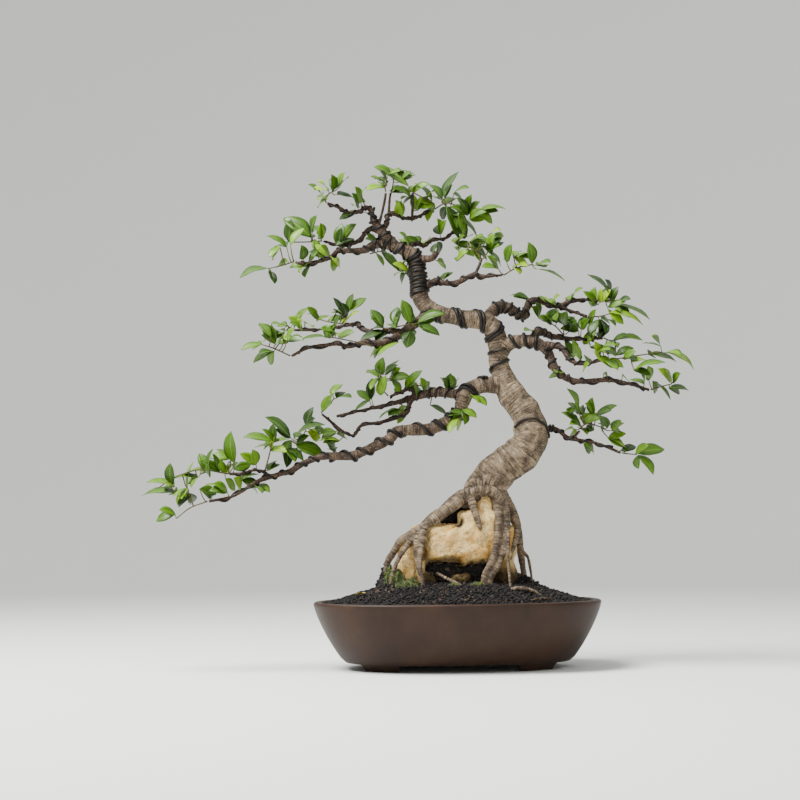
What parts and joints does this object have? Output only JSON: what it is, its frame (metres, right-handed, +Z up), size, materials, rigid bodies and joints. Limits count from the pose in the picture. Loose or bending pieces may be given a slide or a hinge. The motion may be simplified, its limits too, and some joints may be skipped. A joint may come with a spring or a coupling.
{
  "type": "bonsai tree in a pot",
  "caption": "Wired root-over-rock ficus bonsai with a curved trunk and long side branches, planted in a low oval stoneware pot with cut-out feet.",
  "frame": {"origin": "middle of the whole object's outline seen from above, on the surface that the pot stands on", "axes": "+X to the tree's right, seen from its front; +Y to its back; +Z up"},
  "size_m": [0.8521, 0.3442, 0.7972],
  "materials": {
    "stoneware": "satin unglazed stoneware",
    "bark": "matt bark",
    "limestone": "rough",
    "soil": "granular matt",
    "moss": "soft matt",
    "screen": "matt",
    "wire": "satin anodised",
    "leaf": "glossy",
    "yellow_leaf": "satin"
  },
  "bodies": {
    "root": {"anchor_wire": "wire", "apex_wire": "wire", "drainage_screen_left": "screen", "drainage_screen_right": "screen", "fallen_leaf": "yellow_leaf", "fallen_twig": "bark", "low_left_end_wire": "wire", "low_left_upper_wire": "wire", "low_left_wire": "wire", "mid_left_wire": "wire", "moss_back": "moss", "moss_front": "moss", "moss_left": "moss", "pot": "stoneware", "right_low_wire": "wire", "right_main_wire": "wire", "right_upper_end_wire": "wire", "right_upper_wire": "wire", "shoot_apex_left": "leaf", "shoot_apex_right": "leaf", "shoot_base": "leaf", "shoot_crown_left": "leaf", "shoot_crown_middle": "leaf", "shoot_crown_right": "leaf", "shoot_far_left": "leaf", "shoot_far_left_low": "leaf", "shoot_low_left_back": "leaf", "shoot_low_left_end": "leaf", "shoot_low_left_front": "leaf", "shoot_low_left_pad": "leaf", "shoot_low_left_top": "leaf", "shoot_mid_left_end": "leaf", "shoot_mid_left_inner": "leaf", "shoot_mid_left_low": "leaf", "shoot_mid_left_outer": "leaf", "shoot_mid_left_top": "leaf", "shoot_right_back_end": "leaf", "shoot_right_back_top": "leaf", "shoot_right_front_end": "leaf", "shoot_right_low_end": "leaf", "shoot_right_low_top": "leaf", "shoot_right_main_end": "leaf", "shoot_right_upper_base": "leaf", "shoot_right_upper_end": "leaf", "shoot_right_upper_low": "leaf", "shoot_up_left_back": "leaf", "shoot_up_left_end": "leaf", "shoot_up_left_hanging": "leaf", "shoot_up_right_back": "leaf", "shoot_up_right_end": "leaf", "shoot_up_right_fork": "leaf", "soil": "soil", "stone": "limestone", "top_left_wire": "wire", "trunk_wire_elbow": "wire", "trunk_wire_neck": "wire", "wood": "bark"}
  },
  "joints": []
}
